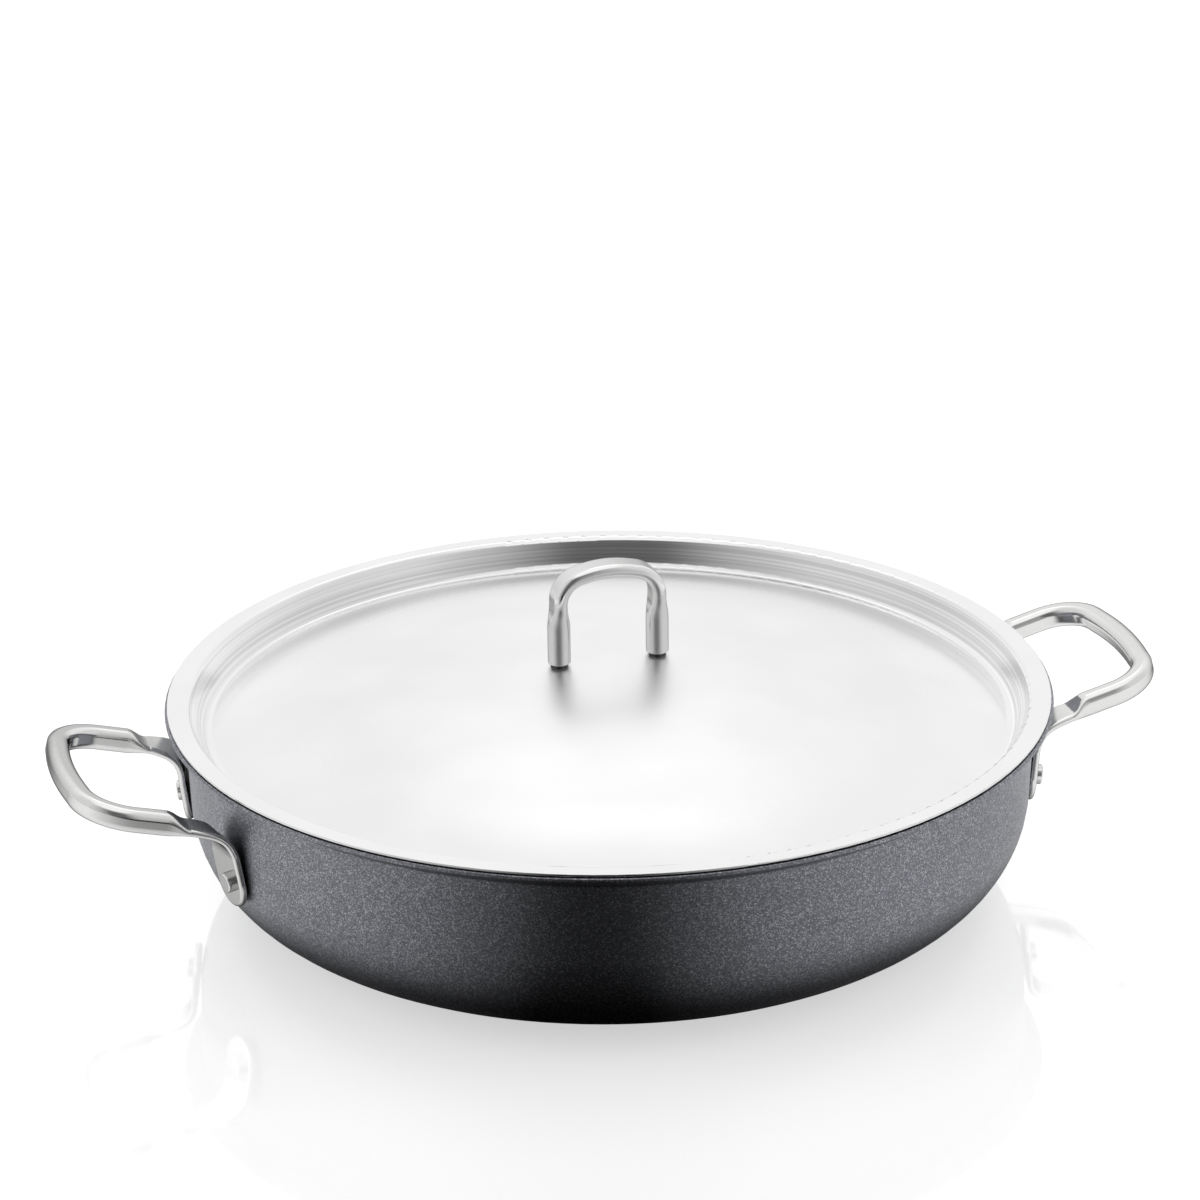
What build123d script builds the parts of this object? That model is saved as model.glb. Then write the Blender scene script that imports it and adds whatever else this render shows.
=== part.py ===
from build123d import *
import math
import os

os.makedirs("parts", exist_ok=True)

# A braiser: a low, wide, coated pan with two bent-tube side handles riveted to its wall,
# and a domed steel lid whose sunk ring drops inside the pan's pouring rim.
# The origin is the centre of the base's underside, Z points up, and the side handles
# stand out along X. Lengths are in millimetres.

# Pan
rim_radius = 145.8
rim_flare = 5.85
rim_height = 5.0
rim_edge_height = 1.2
rim_foot_round = 1.6
rim_edge_round = 0.45
pan_height = 66.1
wall_thickness = 2.6
wall_lean_angle = 2.5
base_thickness = 4.2
bottom_round_share = 0.534

# Heat-spreading plate let into the base
plate_margin = 9.3
plate_thickness = 1.0
plate_groove = 0.4
plate_edge_round = 0.3

# Side handles: a tube bent to a loop, with its ends pressed flat and folded down the wall
handle_root = 5.05
handle_drop = 14.25
handle_tilt_angle = 14.5
handle_reach = 38.9
handle_bow_rise = 4.5
handle_leg_reach = 11.0
handle_leg_half = 34.2
handle_leg_spread = 0.2
handle_corner_round = 15.7
handle_bow_round = 120.0
tube_width = 7.2
tube_height = 7.5
tube_round = 2.6
shoulder_length = 7.5
strap_width = 11.0
strap_thickness = 2.4
strap_drop = 0.7
strap_edge_round = 1.1

# Tabs: the folded ends of the handles
rivet_spread = 2.35
rivet_drop_share = 0.497
tab_gap = 0.4
tab_width = 17.2
tab_offset = 1.6
tab_end_drop = 0.5
tab_length = 9.0
tab_lean_angle = 6.0
tab_slant_angle = 9.5
fold_pull_out = 8.1
fold_pull_down = 6.5

# Rivets
rivet_radius = 2.2
rivet_clearance = 0.05
rivet_head_radius = 3.3
rivet_head_height = 2.2
rivet_head_round = 0.5
rivet_tail_radius = 4.5
rivet_tail_height = 1.2
rivet_tail_round = 0.8

# Lid
lid_inset = 0.8
lid_sheet = 0.8
lid_clearance = 0.3
lid_edge_round = 0.25
lid_land = 6.7
well_run = 5.6
well_round = 2.8
valley_round = 3.0
well_depth = 9.8
dome_rise = 10.0

# Lid handle: a tube pressed flat over its arch, standing on two round feet
grip_span = 33.5
grip_corner_height = 28.8
grip_apex_height = 32.9
grip_corner_round = 9.1
grip_arch_round = 35.0
grip_width = 10.1
grip_thickness = 4.5
foot_radius = 3.75
foot_gap = 1.1
foot_length = 11.9
foot_taper_length = 8.1
foot_bore_depth = 9.0
foot_wall = 1.1
foot_edge_round = 0.3
grip_edge_flat = 0.03

# Studs welded to the dome, on which the feet stand
stud_flange_radius = 2.9
stud_spigot_length = 7.0
stud_clearance = 0.1
stud_chamfer = 0.5

# A cutting tool runs this far past what it cuts
overrun = 2.0

# Number of steps in each drawn-out change of section
shoulder_steps = 4
fold_steps = 6
taper_steps = 4

# What follows from the sizes above
bottom_round = pan_height * bottom_round_share
wall_lean = math.radians(wall_lean_angle)
lean_slope = math.tan(wall_lean)
wall_top_radius = rim_radius - rim_flare
wall_foot_radius = wall_top_radius - pan_height * lean_slope
flat_radius = wall_foot_radius - bottom_round / math.tan((math.pi / 2 + wall_lean) / 2)
plate_radius = flat_radius - plate_margin
handle_start_radius = wall_top_radius + handle_root
handle_corner_reach = handle_reach - handle_bow_rise
handle_corner_half = handle_leg_half + handle_leg_spread
rivet_half = handle_leg_half + rivet_spread
rivet_height = pan_height * (1 - rivet_drop_share)
lid_top = pan_height + lid_clearance + lid_sheet
lid_radius = rim_radius - lid_inset
well_radius = lid_radius - lid_land
valley_radius = well_radius - well_run
dome_radius = (valley_radius**2 + (dome_rise + well_depth) ** 2) / (dome_rise + well_depth) / 2
foot_middle = grip_span / 2
foot_seat = lid_top + dome_rise - dome_radius + math.sqrt(dome_radius**2 - foot_middle**2)
upright = (Align.CENTER, Align.CENTER, Align.MIN)


def wall_radius(height):
    """The outside radius of the leaning wall, produced down to the base, at a height."""
    return wall_foot_radius + height * lean_slope


def outer_radius(height):
    """The pan's outside radius at a height, with the rounded bottom."""
    if height > bottom_round * (1 - math.sin(wall_lean)):
        return wall_radius(height)
    return flat_radius + math.sqrt(bottom_round**2 - (bottom_round - height) ** 2)


def polar(radius, angle, height):
    """A point from its radius and its angle round Z, in degrees."""
    turn = math.radians(angle)
    return Vector(radius * math.cos(turn), radius * math.sin(turn), height)


def turned(points, radii):
    """A solid of revolution round Z, from its closed half outline and the rounding of each corner."""
    outline = FilletPolyline(points, radius=radii, close=True)
    return revolve(Plane.XZ * make_face(outline), Axis.Z)


def pan_body():
    """The pan, turned in one piece: flat base, rounded bottom, leaning wall and flared rim."""
    rim_foot = pan_height - rim_height
    rim_slope = (rim_radius - wall_radius(rim_foot)) / (rim_height - rim_edge_height)
    sheet_across_rim = wall_thickness * math.hypot(1, rim_slope)
    sheet_across_wall = wall_thickness / math.cos(wall_lean)
    mouth_radius = rim_radius + rim_edge_height * rim_slope - sheet_across_rim
    throat_drop = (mouth_radius - wall_top_radius + sheet_across_wall) / (rim_slope - lean_slope)
    outline = [
        (0, 0),
        (wall_radius(0), 0),
        (wall_radius(rim_foot), rim_foot),
        (rim_radius, pan_height - rim_edge_height),
        (rim_radius, pan_height),
        (mouth_radius, pan_height),
        (mouth_radius - throat_drop * rim_slope, pan_height - throat_drop),
        (wall_radius(base_thickness) - sheet_across_wall, base_thickness),
        (0, base_thickness),
    ]
    rounding = [
        0,
        bottom_round,
        rim_foot_round,
        rim_edge_round,
        rim_edge_round,
        rim_edge_round,
        rim_foot_round + wall_thickness,
        bottom_round - wall_thickness,
        0,
    ]
    pan = turned(outline, rounding)
    pan -= extrude(Circle(plate_radius + plate_groove), plate_thickness)
    for place in tab_planes():
        pan -= place * Cylinder(rivet_radius, (tab_gap + wall_thickness + overrun) * 2)
    return pan


def base_plate():
    """The steel disc pressed into the underside of the base."""
    plate = extrude(Circle(plate_radius), plate_thickness)
    return fillet(plate.edges().group_by(Axis.Z)[0], plate_edge_round)


def tab_plane(side, end):
    """The plane of a handle tab's inner face at its rivet: X round the pan, Y up the wall, Z outward."""
    radius = outer_radius(rivet_height)
    angle = side + end * math.degrees(math.asin(rivet_half / radius))
    lean = math.radians(tab_lean_angle)
    outward = polar(math.cos(lean), angle, -math.sin(lean))
    on_wall = polar(radius, angle, rivet_height)
    return Plane(on_wall + outward * tab_gap, x_dir=polar(1, angle + 90, 0), z_dir=outward)


def tab_planes():
    return [tab_plane(side, end) for side in (0, 180) for end in (1, -1)]


def section(point, across, along, width, height, rounding):
    """A rounded rectangle square to a path: width runs across it."""
    return Plane(point, x_dir=across, z_dir=along) * RectangleRounded(width, height, rounding)


def blend(start, finish, share):
    return start + (finish - start) * share


def handle_plane():
    """The tilted plane of a side handle's loop: X outward, Y along the pan's side."""
    tilt = math.radians(handle_tilt_angle)
    return Plane(
        (handle_start_radius, 0, pan_height - handle_drop),
        x_dir=(math.cos(tilt), 0, math.sin(tilt)),
        z_dir=(-math.sin(tilt), 0, math.cos(tilt)),
    )


def reshaped(place, start, finish, length, drop, steps):
    """A bar that changes smoothly from one rounded-rectangle section to another along the plane's
    Z, while its middle moves down the plane's Y."""
    sections = []
    for step in range(steps + 1):
        share = step / steps
        mix = share * share * (3 - 2 * share)
        size = [blend(first, last, mix) for first, last in zip(start, finish)]
        middle = place.from_local_coords(Vector(0, -drop * mix, length * share))
        sections.append(section(middle, place.x_dir, place.z_dir, *size))
    return loft(sections)


def handle_tab(place, shift):
    """The rounded tab at the end of a strap, flat on the plane, with its rivet hole at the origin."""
    half = Rectangle(tab_width, tab_length + tab_end_drop, align=(Align.CENTER, Align.MIN))
    outline = Pos(shift, -tab_end_drop) * (half + Circle(tab_width / 2))
    tab = extrude(outline, strap_thickness)
    sides = tab.edges().filter_by(Plane.XY).sort_by(Axis.Y)[:-2]
    tab = fillet(sides, strap_edge_round) - Cylinder(rivet_radius, strap_thickness, align=upright)
    return place * tab


def handle_end(loop, end):
    """One flattened end of a side handle: shoulder, fold and tab."""
    leg_slope = (handle_leg_half - handle_corner_half) / (handle_corner_reach - handle_leg_reach)
    inward = (loop.y_dir * leg_slope * end - loop.x_dir).normalized()
    leg_end = loop.from_local_coords(Vector(handle_leg_reach, handle_leg_half * end))
    leg = Plane(leg_end, x_dir=loop.z_dir.cross(inward), z_dir=inward)
    tube = (tube_width, tube_height, tube_round)
    strap = (strap_width, strap_thickness, strap_edge_round)
    shoulder = reshaped(leg, tube, strap, shoulder_length, strap_drop, shoulder_steps)

    rivet_plane = tab_plane(0, end)
    slant = math.radians(tab_slant_angle) * end
    down = rivet_plane.x_dir * math.sin(slant) - rivet_plane.y_dir * math.cos(slant)
    across = rivet_plane.z_dir.cross(down)
    fold_start = leg.from_local_coords(Vector(0, -strap_drop, shoulder_length))
    tab_middle = rivet_plane.origin - across * tab_offset * end
    fold_end = tab_middle + rivet_plane.z_dir * strap_thickness / 2 - down * tab_length
    pulls = [fold_start + inward * fold_pull_out, fold_end - down * fold_pull_down]
    path = Bezier(fold_start, *pulls, fold_end)
    sections = []
    for step in range(fold_steps + 1):
        share = step / fold_steps
        along = path % share
        sideways = blend(leg.x_dir, -across, share)
        sideways = (sideways - along * sideways.dot(along)).normalized()
        width = blend(strap_width, tab_width, share)
        sections.append(section(path @ share, sideways, along, width, *strap[1:]))
    tab_place = Plane(rivet_plane.origin, x_dir=across, z_dir=rivet_plane.z_dir)
    tab = handle_tab(tab_place, -tab_offset * end)
    return shoulder + loft(sections) + tab


def side_handle(side):
    """A side handle: the swept tube loop with its two flattened ends."""
    loop = handle_plane()
    points = [
        (handle_leg_reach, handle_leg_half),
        (handle_corner_reach, handle_corner_half),
        (handle_reach, 0),
        (handle_corner_reach, -handle_corner_half),
        (handle_leg_reach, -handle_leg_half),
    ]
    rounding = [handle_corner_round, handle_bow_round, handle_corner_round]
    path = loop * FilletPolyline(points, radius=rounding)
    across = (path % 0).cross(loop.z_dir)
    start = section(path @ 0, across, path % 0, tube_width, tube_height, tube_round)
    handle = sweep(start, path=path) + handle_end(loop, 1) + handle_end(loop, -1)
    return Rot(0, 0, side) * handle


def rivet(side, end, pan):
    """A rivet through a tab and the pan's wall: flat head outside, low upset head inside."""
    head = Cylinder(rivet_head_radius, rivet_head_height, align=upright)
    head = fillet(head.edges().group_by(Axis.Z)[-1], rivet_head_round)
    wall_inside = -tab_gap - wall_thickness
    shank_length = strap_thickness - wall_inside
    shank = Cylinder(rivet_radius - rivet_clearance, shank_length, align=upright)
    tail = Cylinder(rivet_tail_radius, rivet_tail_height + wall_thickness / 2, align=upright)
    tail = fillet(tail.edges().group_by(Axis.Z)[0], rivet_tail_round)
    place = tab_plane(side, end)
    tail = place * Pos(0, 0, wall_inside - rivet_tail_height) * tail - pan
    return place * (Pos(0, 0, strap_thickness) * head + Pos(0, 0, wall_inside) * shank) + tail


def lid():
    """The lid, pressed from one sheet: shallow dome, sunk ring round it and flat rim."""
    valley = (valley_radius, lid_top - well_depth)
    dome = TangentArc((0, lid_top + dome_rise), valley, tangent=(1, 0))
    flange = Polyline(valley, (well_radius, lid_top), (lid_radius, lid_top))
    surface = Wire(dome.edges() + flange.edges())
    corners = surface.vertices().sort_by(Axis.X)
    surface = surface.fillet_2d(valley_round, [corners[1]])
    corners = surface.vertices().sort_by(Axis.X)
    surface = surface.fillet_2d(well_round, [corners[-2]])
    sheet = make_face(offset(surface, lid_sheet, side=Side.RIGHT, closed=True))
    sheet = fillet(sheet.vertices().group_by(Axis.X)[-1], lid_edge_round)
    return revolve(Plane.XZ * sheet, Axis.Z)


def lid_handle():
    """The lid's handle: a round-footed tube pressed flat over its arch, open at both feet."""
    strap = (grip_width, grip_thickness, grip_thickness / 2 - grip_edge_flat)
    tube = (foot_radius * 2, foot_radius * 2, foot_radius - grip_edge_flat)
    dome_top = lid_top + dome_rise
    foot_bottom = foot_seat + foot_gap
    taper_bottom = foot_bottom + foot_length
    strap_bottom = taper_bottom + foot_taper_length
    points = [
        (-foot_middle, strap_bottom),
        (-foot_middle, dome_top + grip_corner_height),
        (0, dome_top + grip_apex_height),
        (foot_middle, dome_top + grip_corner_height),
        (foot_middle, strap_bottom),
    ]
    rounding = [grip_corner_round, grip_arch_round, grip_corner_round]
    path = Plane.XZ * FilletPolyline(points, radius=rounding)
    start = Plane(path @ 0, x_dir=(0, 1, 0), z_dir=path % 0) * RectangleRounded(*strap)
    handle = sweep(start, path=path)
    for middle in (-foot_middle, foot_middle):
        base = Plane((middle, 0, foot_bottom), x_dir=(0, 1, 0))
        foot = extrude(RectangleRounded(*tube), foot_length)
        foot = fillet(foot.edges().group_by(Axis.Z)[0], foot_edge_round)
        foot -= Cylinder(foot_radius - foot_wall, foot_bore_depth, align=upright)
        handle += base * foot
        handle += reshaped(base.offset(foot_length), tube, strap, foot_taper_length, 0, taper_steps)
    return handle


def lid_handle_stud(middle, cover):
    """A stud on the dome: a flange that carries the foot and a spigot that fills its bore."""
    flange_bottom = foot_seat - lid_sheet / 2
    spigot_radius = foot_radius - foot_wall - stud_clearance
    flange = Cylinder(stud_flange_radius, foot_seat + foot_gap - flange_bottom, align=upright)
    spigot = Cylinder(spigot_radius, stud_spigot_length, align=upright)
    spigot = chamfer(spigot.edges().group_by(Axis.Z)[-1], stud_chamfer)
    stud = Pos(middle, 0, flange_bottom) * flange + Pos(middle, 0, foot_seat + foot_gap) * spigot
    return stud - cover


pan = pan_body()
cover = lid()
export_step(pan, "parts/pan_body.step")
export_step(base_plate(), "parts/base_plate.step")
for name, side in {"right": 0, "left": 180}.items():
    export_step(side_handle(side), f"parts/side_handle_{name}.step")
    front = -1 if name == "right" else 1
    export_step(rivet(side, front, pan), f"parts/rivet_{name}_front.step")
    export_step(rivet(side, -front, pan), f"parts/rivet_{name}_back.step")
export_step(cover, "parts/lid.step")
export_step(lid_handle(), "parts/lid_handle.step")
export_step(lid_handle_stud(foot_middle, cover), "parts/lid_handle_stud_right.step")
export_step(lid_handle_stud(-foot_middle, cover), "parts/lid_handle_stud_left.step")
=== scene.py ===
import math

import bpy
from mathutils import Matrix, Vector

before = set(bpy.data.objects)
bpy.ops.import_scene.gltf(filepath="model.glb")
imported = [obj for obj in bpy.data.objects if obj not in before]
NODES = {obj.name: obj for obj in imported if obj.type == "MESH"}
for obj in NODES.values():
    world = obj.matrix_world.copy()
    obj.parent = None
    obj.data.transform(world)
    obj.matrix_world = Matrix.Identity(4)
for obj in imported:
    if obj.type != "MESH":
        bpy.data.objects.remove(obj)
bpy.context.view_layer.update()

# The camera. Lengths are in metres and angles in degrees, here and below.
IMAGE_SIZE = 1200
FOCAL_PIXELS = 4405.7
PRINCIPAL_POINT = (608.9, 686.6)
SENSOR_MM = 36.0
CAMERA_TARGET = Vector((0, 0, 0.0672))
CAMERA_DISTANCE = 1.45
CAMERA_AZIMUTH = -16.05
CAMERA_ELEVATION = 22.82
CAMERA_ROLL = -0.758

WHITE = (1, 1, 1, 1)
BLACK = (0, 0, 0, 1)

# The floor, and the world's strength for matt surfaces and for what is seen or reflected
FLOOR_HALF = 6.0
FLOOR_COLOR = (0.86, 0.86, 0.86, 1)
FLOOR_GLOW = 0.76
WORLD_FILL = 0.26
WORLD_SHOWN = 1.0
# The studio's brightness in reflections, by the angle round the part from the camera's side
STUDIO_TURN = -3
STUDIO_LEVELS = [(8, 0.01), (36, 0.46), (62, 0.7), (100, 0.7), (160, 1.0)]
LEAST_ABOVE = 0.12
OVERHEAD_START = 0.72
OVERHEAD_END = 0.95
# Painted shade: in reflections the floor beside the pan is mixed toward black, standing for the
# pan's shadow there
SHADED_RADIUS = 0.13
LIT_RADIUS = 0.155
SHADED_LEVEL = 0.12
# The floor shines a little and mirrors the pan, less and less away from it
SHINE = 0.24
SHINE_ROUGHNESS = 0.05
SHINE_RADIUS = 0.24
DULL_RADIUS = 0.45
SOFTBOXES = {
    # name: (azimuth from the camera, elevation, distance, width, height, watts, seen in reflections)
    "softbox_left": (-75, 35, 1.6, 1.2, 1.2, 4.0, False),
    "softbox_right": (75, 35, 1.6, 1.2, 1.2, 4.0, False),
    "softbox_top": (180, 80, 1.6, 1.6, 1.6, 5.0, False),
    "softbox_back": (180, 46, 1.6, 0.5, 0.4, 0.3, True),
}

# Each noise is a scale, a detail and a roughness, and each bump is a strength and a distance.
# The pan's coating: flecks in small cells, a fine grain and faint clouds
FLECK_SCALE = 3000.0
COAT_GRAIN = (1400.0, 3.0, 0.65)
COAT_CLOUD = (35.0, 3.0, 0.5)
COAT_CLOUD_RANGE = 0.08
COAT_TONES = [(0.0, (0.16, 0.164, 0.183)), (0.7, (0.255, 0.261, 0.29)), (1.0, (0.56, 0.57, 0.61))]
COAT_ROUGHNESS = (0.34, 0.44)
COAT_BUMP = (0.3, 0.00004)
# All steel: where its lower and its full colour lie in the tone, and its clouds
STEEL_LOW_TONE = 0.3
STEEL_FULL_TONE = 0.7
STEEL_CLOUD = (28.0, 2.0, 0.5)
# The lid's steel, brushed in circles. The circles drift a little and follow the height too.
TURNED_COLOR = (0.97, 0.97, 0.97)
TURNED_LOW = 0.8
TURNED_GRAIN = (2600.0, 3.0, 0.6)
TURNED_CLOUD_RANGE = (0.4, 0.6)
TURNED_BUMP = (0.02, 0.00003)
TURNED_ANISOTROPY = 0.2
CIRCLE_HEIGHT = 2.0
CIRCLE_DRIFT = 0.004
# The outer part of the lid, from the edge of the dome on, is smoother than the dome
DOME_EDGE = 0.092
SMOOTH_START = 0.122
DOME_ROUGHNESS = 0.36
SMOOTH_ROUGHNESS = 0.16
# How the lid's upper face leans along its radius: each bend's start, end and change of lean
LID_BENDS = [(0.0, 0.13042, 0.287), (0.13042, 0.13389, -1.155), (0.13749, 0.13992, 0.868)]
LID_FLAT_END = 0.1448
# The sloping wall round the lid's sunk ring, where the brushing shows as lines
WALL_START = 0.132
WALL_END = 0.1385
WALL_FADE = 0.001
WALL_LINES = (420.0, 2.0, 0.7)
WALL_CONTRAST = 2.5
# Polished steel: its tone is the grain's share and the clouds' share
POLISHED_LOW = 0.93
POLISHED_GRAIN = (900.0, 3.0, 0.6)
POLISHED_GRAIN_SHARE = 0.6
POLISHED_CLOUD_SHARE = 0.4
POLISHED_ROUGHNESS = (0.13, 0.19)
POLISHED_BUMP = (0.05, 0.00003)
RIVETS = ("rivet_right_front", "rivet_right_back", "rivet_left_front", "rivet_left_back")
POLISHED = {
    # name: (colour, edge tint, pieces)
    "polished_steel": ((0.93, 0.93, 0.92), 0.15, ("side_handle_right", "side_handle_left", *RIVETS)),
    "bright_steel": ((0.96, 0.96, 0.955), 0.35, ("lid_handle",)),
    # The studs' near-black colour is painted shade: it stands for the dark shadow gap under the lid
    # handle's feet.
    "painted_shade_steel": ((0.1, 0.1, 0.1), 0.4, ("lid_handle_stud_right", "lid_handle_stud_left")),
}


def direction(azimuth, elevation):
    """The unit vector toward an azimuth (0 is the front, -Y) and an elevation, in degrees."""
    a, e = math.radians(azimuth), math.radians(elevation)
    return Vector((math.sin(a) * math.cos(e), -math.cos(a) * math.cos(e), math.sin(e)))


def aimed(position, target):
    """The matrix that puts an object at a place with its -Z toward the target."""
    turn = (target - position).to_track_quat("-Z", "Y")
    return Matrix.Translation(position) @ turn.to_matrix().to_4x4()


def add_camera():
    data = bpy.data.cameras.new("camera")
    data.sensor_width = SENSOR_MM
    data.lens = FOCAL_PIXELS / IMAGE_SIZE * SENSOR_MM
    data.shift_x = (IMAGE_SIZE / 2 - PRINCIPAL_POINT[0]) / IMAGE_SIZE
    data.shift_y = (PRINCIPAL_POINT[1] - IMAGE_SIZE / 2) / IMAGE_SIZE
    camera = bpy.data.objects.new("camera", data)
    bpy.context.scene.collection.objects.link(camera)
    position = CAMERA_TARGET + direction(CAMERA_AZIMUTH, CAMERA_ELEVATION) * CAMERA_DISTANCE
    roll = Matrix.Rotation(math.radians(CAMERA_ROLL), 4, "Z")
    camera.matrix_world = aimed(position, CAMERA_TARGET) @ roll
    bpy.context.scene.camera = camera


class Nodes:
    """A short way to write a node tree."""

    def __init__(self, owner):
        owner.use_nodes = True
        self.tree = owner.node_tree
        self.tree.nodes.clear()

    def add(self, kind, links=None, values=None, **settings):
        """A node of a kind, with its settings, its input values and what feeds its inputs."""
        node = self.tree.nodes.new(kind)
        for name, value in settings.items():
            setattr(node, name, value)
        for name, value in (values or {}).items():
            node.inputs[name].default_value = value
        for name, source in (links or {}).items():
            self.tree.links.new(source, node.inputs[name])
        return node

    def math(self, operation, *terms):
        """The result of a math node; each term is a number or another node's output."""
        node = self.tree.nodes.new("ShaderNodeMath")
        node.operation = operation
        for place, term in enumerate(terms):
            if isinstance(term, (int, float)):
                node.inputs[place].default_value = term
            else:
                self.tree.links.new(term, node.inputs[place])
        return node.outputs[0]

    def ramp(self, source, stops):
        """A colour ramp over a value; each stop is a position and a colour."""
        node = self.add("ShaderNodeValToRGB", links={"Fac": source})
        elements = node.color_ramp.elements
        while len(elements) < len(stops):
            elements.new(0.5)
        for element, (position, color) in zip(elements, stops):
            element.position = position
            element.color = (*color, 1)
        return node.outputs["Color"]

    def span(self, source, low, high, start=0.0, end=1.0):
        """A value between a start and an end mapped to a range."""
        ends = {"From Min": start, "From Max": end, "To Min": low, "To Max": high}
        node = self.add("ShaderNodeMapRange", links={"Value": source}, values=ends)
        return node.outputs["Result"]

    def parts(self, vector):
        """The X, Y and Z of a vector."""
        return self.add("ShaderNodeSeparateXYZ", links={"Vector": vector}).outputs

    def length(self, vector):
        node = self.add("ShaderNodeVectorMath", links={0: vector}, operation="LENGTH")
        return node.outputs["Value"]

    def noise(self, vector, scale, detail, roughness):
        values = {"Scale": scale, "Detail": detail, "Roughness": roughness}
        return self.add("ShaderNodeTexNoise", links={"Vector": vector}, values=values).outputs["Fac"]

    def bump(self, height, strength, distance, **links):
        values = {"Strength": strength, "Distance": distance}
        node = self.add("ShaderNodeBump", links={"Height": height, **links}, values=values)
        return node.outputs["Normal"]

    def mixed(self, share, first, second):
        """Two shaders mixed: the second takes the share."""
        node = self.add("ShaderNodeMixShader", links={0: share, 1: first, 2: second})
        return node.outputs["Shader"]

    def surface(self, shader):
        self.add("ShaderNodeOutputMaterial", links={"Surface": shader})


def coated_material():
    """Dark satin hard coating with a fine light speckle."""
    material = bpy.data.materials.new("coated_aluminium")
    tree = Nodes(material)
    place = tree.add("ShaderNodeTexCoord").outputs["Object"]
    cells = tree.add("ShaderNodeTexVoronoi", links={"Vector": place}, values={"Scale": FLECK_SCALE})
    fleck = tree.add("ShaderNodeSeparateColor", links={"Color": cells.outputs["Color"]})
    grain = tree.noise(place, *COAT_GRAIN)
    cloud = tree.span(tree.noise(place, *COAT_CLOUD), -COAT_CLOUD_RANGE, COAT_CLOUD_RANGE)
    shader = tree.add(
        "ShaderNodeBsdfPrincipled",
        links={
            "Base Color": tree.ramp(tree.math("ADD", fleck.outputs["Red"], cloud), COAT_TONES),
            "Roughness": tree.span(grain, *COAT_ROUGHNESS),
            "Normal": tree.bump(grain, *COAT_BUMP),
        },
        values={"Metallic": 1.0},
    )
    tree.surface(shader.outputs["BSDF"])
    return material


def steel_shader(tree, color, low_share, tone, **links):
    """Steel of a colour that a tone from 0 to 1 makes a little darker or lighter."""
    low = tuple(channel * low_share for channel in color)
    stops = [(STEEL_LOW_TONE, low), (STEEL_FULL_TONE, color)]
    return tree.add(
        "ShaderNodeBsdfPrincipled",
        links={"Base Color": tree.ramp(tone, stops), **links},
        values={"Metallic": 1.0},
    )


def even_normal(tree, parts, radius):
    """The lid's normal: worked out from the radius on its upper face, else the mesh's own."""
    own = tree.add("ShaderNodeNewGeometry").outputs["Normal"]
    upward = tree.math("GREATER_THAN", tree.parts(own)["Z"], 0.0)
    inside = tree.math("LESS_THAN", radius, LID_FLAT_END)
    lean = 0.0
    for start, end, change in LID_BENDS:
        lean = tree.math("ADD", lean, tree.span(radius, 0.0, change, start, end))
    share = tree.math("DIVIDE", lean, radius)
    worked_out = tree.add(
        "ShaderNodeCombineXYZ",
        links={
            "X": tree.math("MULTIPLY", parts["X"], share),
            "Y": tree.math("MULTIPLY", parts["Y"], share),
            "Z": tree.math("SQRT", tree.math("SUBTRACT", 1.0, tree.math("MULTIPLY", lean, lean))),
        },
    )
    # The inputs 0, 4 and 5 of a vector mix are its factor and its two vectors.
    sources = {0: tree.math("MULTIPLY", upward, inside), 4: own, 5: worked_out.outputs["Vector"]}
    return tree.add("ShaderNodeMix", links=sources, data_type="VECTOR").outputs[1]


def turned_material():
    """The lid's steel, brushed in circles, smoother outside the dome."""
    material = bpy.data.materials.new("turned_steel")
    tree = Nodes(material)
    place = tree.add("ShaderNodeTexCoord").outputs["Object"]
    parts = tree.parts(place)
    flat = tree.add("ShaderNodeCombineXYZ", links={"X": parts["X"], "Y": parts["Y"]})
    radius = tree.length(flat.outputs["Vector"])
    circles = tree.add(
        "ShaderNodeCombineXYZ",
        links={
            "X": tree.math("ADD", radius, tree.math("MULTIPLY", parts["Z"], CIRCLE_HEIGHT)),
            "Y": tree.math("MULTIPLY", parts["X"], CIRCLE_DRIFT),
            "Z": tree.math("MULTIPLY", parts["Y"], CIRCLE_DRIFT),
        },
    ).outputs["Vector"]
    grain = tree.noise(circles, *TURNED_GRAIN)
    smooth = tree.span(radius, 0.0, 1.0, DOME_EDGE, SMOOTH_START)
    wall = tree.math(
        "MULTIPLY",
        tree.span(radius, 0.0, 1.0, WALL_START, WALL_START + WALL_FADE),
        tree.span(radius, 1.0, 0.0, WALL_END - WALL_FADE, WALL_END),
    )
    lines = tree.math("SUBTRACT", tree.noise(circles, *WALL_LINES), 0.5)
    contrast = tree.math("MULTIPLY", lines, WALL_CONTRAST)
    cloud = tree.span(tree.noise(place, *STEEL_CLOUD), *TURNED_CLOUD_RANGE)
    tangent = tree.add("ShaderNodeTangent", direction_type="RADIAL", axis="Z")
    shader = steel_shader(
        tree,
        TURNED_COLOR,
        TURNED_LOW,
        tone=tree.math("ADD", cloud, tree.math("MULTIPLY", wall, contrast)),
        Roughness=tree.span(smooth, DOME_ROUGHNESS, SMOOTH_ROUGHNESS),
        Normal=tree.bump(grain, *TURNED_BUMP, Normal=even_normal(tree, parts, radius)),
        Tangent=tangent.outputs["Tangent"],
    )
    shader.inputs["Anisotropic"].default_value = TURNED_ANISOTROPY
    tree.surface(shader.outputs["BSDF"])
    return material


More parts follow.
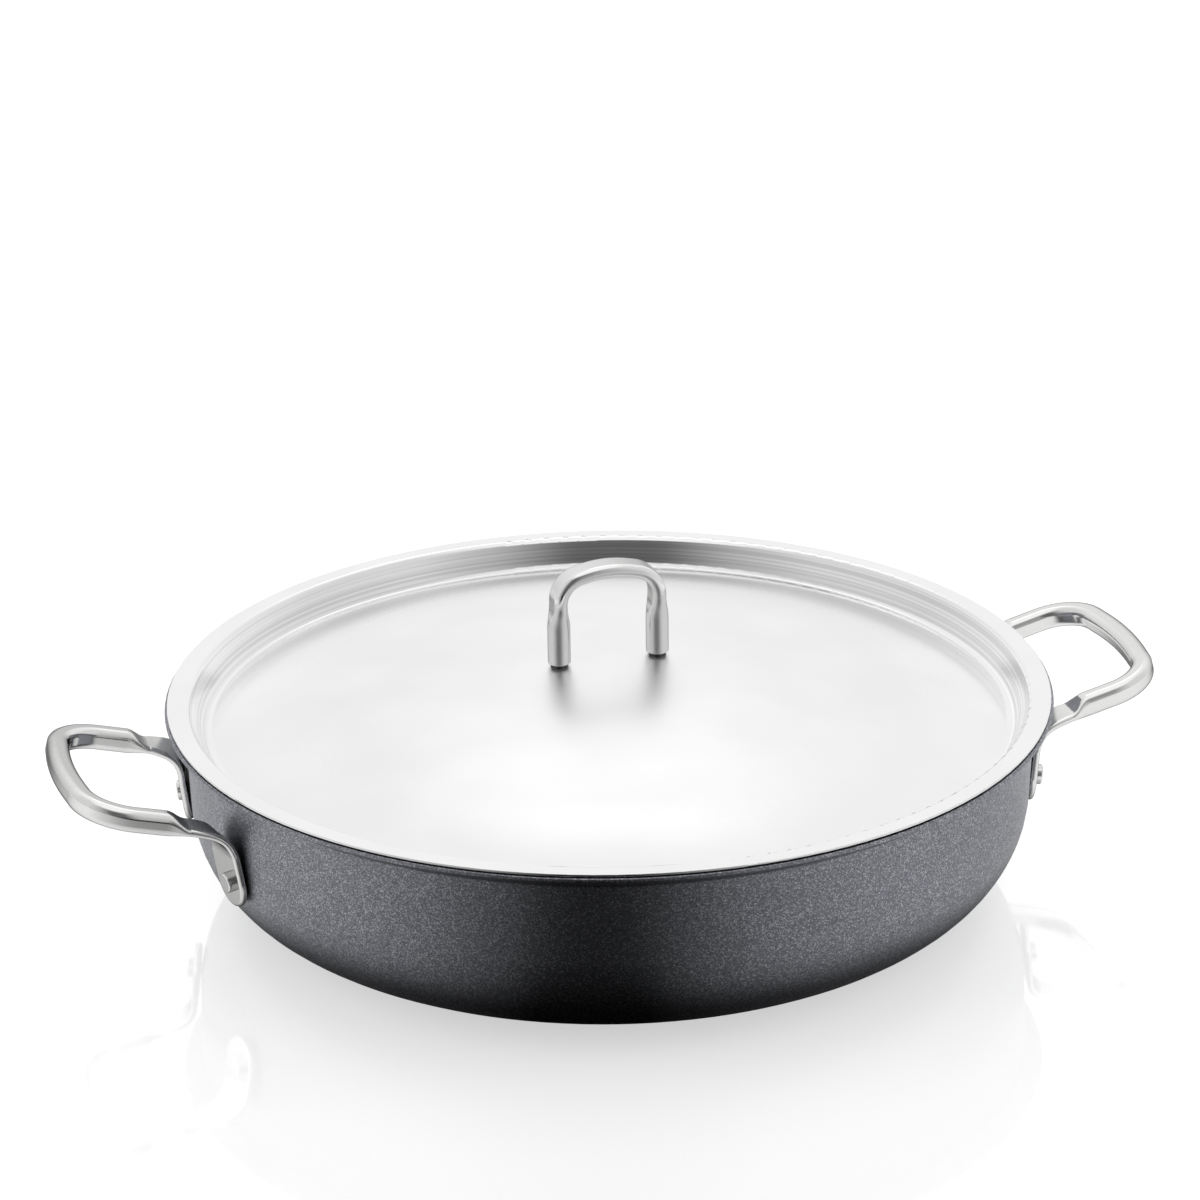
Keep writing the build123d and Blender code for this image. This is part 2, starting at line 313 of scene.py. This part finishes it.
def polished_material(name, color, edge):
    """Polished steel with a faint grain; its edges seen aslant take the edge tint."""
    material = bpy.data.materials.new(name)
    tree = Nodes(material)
    place = tree.add("ShaderNodeTexCoord").outputs["Object"]
    grain = tree.noise(place, *POLISHED_GRAIN)
    cloud = tree.noise(place, *STEEL_CLOUD)
    grain_part = tree.math("MULTIPLY", grain, POLISHED_GRAIN_SHARE)
    cloud_part = tree.math("MULTIPLY", cloud, POLISHED_CLOUD_SHARE)
    shader = steel_shader(
        tree,
        color,
        POLISHED_LOW,
        tone=tree.math("ADD", grain_part, cloud_part),
        Roughness=tree.span(grain, *POLISHED_ROUGHNESS),
        Normal=tree.bump(grain, *POLISHED_BUMP),
    )
    shader.inputs["Specular Tint"].default_value = (edge, edge, edge, 1)
    tree.surface(shader.outputs["BSDF"])
    return material


def dress(material, *names):
    """Gives pieces a material."""
    for name in names:
        mesh = NODES[name].data
        mesh.materials.clear()
        mesh.materials.append(material)


def shown(tree):
    """1 for camera, glossy and transmission rays, else 0."""
    path = tree.add("ShaderNodeLightPath").outputs
    both = tree.math("MAXIMUM", path["Is Camera Ray"], path["Is Glossy Ray"])
    return tree.math("MAXIMUM", both, path["Is Transmission Ray"])


def dark_front(tree):
    """The studio's brightness by direction from the part: dark on the camera's side,
    rising to 1 behind and overhead."""
    place = tree.add("ShaderNodeTexCoord").outputs["Object"]
    parts = tree.parts(place)
    rise = tree.math("DIVIDE", parts["Z"], tree.length(place))
    front = direction(CAMERA_AZIMUTH + STUDIO_TURN, 0)
    x_along = tree.math("MULTIPLY", parts["X"], front.x)
    y_along = tree.math("MULTIPLY", parts["Y"], front.y)
    x_aside = tree.math("MULTIPLY", parts["X"], front.y)
    y_aside = tree.math("MULTIPLY", parts["Y"], front.x)
    along = tree.math("ADD", x_along, y_along)
    aside = tree.math("SUBTRACT", x_aside, y_aside)
    angle = tree.math("ABSOLUTE", tree.math("ARCTAN2", aside, along))
    stops = [(degrees / 180, (level, level, level)) for degrees, level in STUDIO_LEVELS]
    level = tree.ramp(tree.math("DIVIDE", angle, math.pi), stops)
    return tree.math("MAXIMUM", level, tree.span(rise, 0.0, 1.0, OVERHEAD_START, OVERHEAD_END))


def floor_material():
    """Pale and faintly glowing, with a weak mirror shine near the pan. Reflections show the floor as
    dark as the studio is on that side, and darker right beside the pan as painted shade for the
    pan's shadow."""
    material = bpy.data.materials.new("floor")
    tree = Nodes(material)
    path = tree.add("ShaderNodeLightPath").outputs
    diffuse = tree.add("ShaderNodeBsdfDiffuse", values={"Color": FLOOR_COLOR}).outputs["BSDF"]
    strength = tree.math("MULTIPLY", shown(tree), FLOOR_GLOW)
    glow = tree.add("ShaderNodeEmission", links={"Strength": strength}).outputs["Emission"]
    pale = tree.add("ShaderNodeAddShader", links={0: diffuse, 1: glow}).outputs["Shader"]
    radius = tree.length(tree.add("ShaderNodeTexCoord").outputs["Object"])
    # Painted shade: near the pan, the floor seen in reflections turns black, standing for the pan's
    # shadow.
    clear = tree.span(radius, SHADED_LEVEL, 1.0, SHADED_RADIUS, LIT_RADIUS)
    shade = tree.math("SUBTRACT", 1.0, tree.math("MULTIPLY", dark_front(tree), clear))
    hidden = tree.math("MULTIPLY", path["Is Glossy Ray"], shade)
    black = tree.add("ShaderNodeBsdfDiffuse", values={"Color": BLACK}).outputs["BSDF"]
    values = {"Color": WHITE, "Roughness": SHINE_ROUGHNESS}
    mirror = tree.add("ShaderNodeBsdfGlossy", values=values).outputs["BSDF"]
    near = tree.span(radius, SHINE, 0.0, SHINE_RADIUS, DULL_RADIUS)
    shine = tree.math("MULTIPLY", path["Is Camera Ray"], near)
    tree.surface(tree.mixed(shine, tree.mixed(hidden, pale, black), mirror))
    return material


def add_floor():
    mesh = bpy.data.meshes.new("floor")
    corners = [(-1, -1), (1, -1), (1, 1), (-1, 1)]
    mesh.from_pydata([(x * FLOOR_HALF, y * FLOOR_HALF, 0) for x, y in corners], [], [(0, 1, 2, 3)])
    mesh.materials.append(floor_material())
    floor = bpy.data.objects.new("floor", mesh)
    bpy.context.scene.collection.objects.link(floor)


def add_world():
    """White for the camera, a plain fill for matt surfaces, and in reflections a white studio
    that is dark on the camera's side. It lights only by the rays that reach it."""
    world = bpy.data.worlds.new("studio")
    world.cycles.sampling_method = "NONE"
    bpy.context.scene.world = world
    tree = Nodes(world)
    path = tree.add("ShaderNodeLightPath").outputs
    seen = tree.span(shown(tree), WORLD_FILL, WORLD_SHOWN)
    level = tree.math("MAXIMUM", dark_front(tree), LEAST_ABOVE)
    gloss = tree.math("MULTIPLY", path["Is Glossy Ray"], tree.math("SUBTRACT", 1.0, level))
    strength = tree.math("MULTIPLY", seen, tree.math("SUBTRACT", 1.0, gloss))
    background = tree.add(
        "ShaderNodeBackground", links={"Strength": strength}, values={"Color": WHITE}
    )
    tree.add("ShaderNodeOutputWorld", links={"Surface": background.outputs["Background"]})


def add_softboxes():
    for name, (azimuth, elevation, distance, width, height, watts, reflected) in SOFTBOXES.items():
        data = bpy.data.lights.new(name, "AREA")
        data.shape = "RECTANGLE"
        data.size = width
        data.size_y = height
        data.energy = watts
        light = bpy.data.objects.new(name, data)
        bpy.context.scene.collection.objects.link(light)
        position = CAMERA_TARGET + direction(CAMERA_AZIMUTH + azimuth, elevation) * distance
        light.matrix_world = aimed(position, CAMERA_TARGET)
        light.visible_glossy = reflected


dress(coated_material(), "pan_body")
dress(turned_material(), "lid", "base_plate")
for name, (color, edge, pieces) in POLISHED.items():
    dress(polished_material(name, color, edge), *pieces)

add_camera()
add_floor()
add_world()
add_softboxes()
bpy.context.scene.view_settings.view_transform = "Standard"
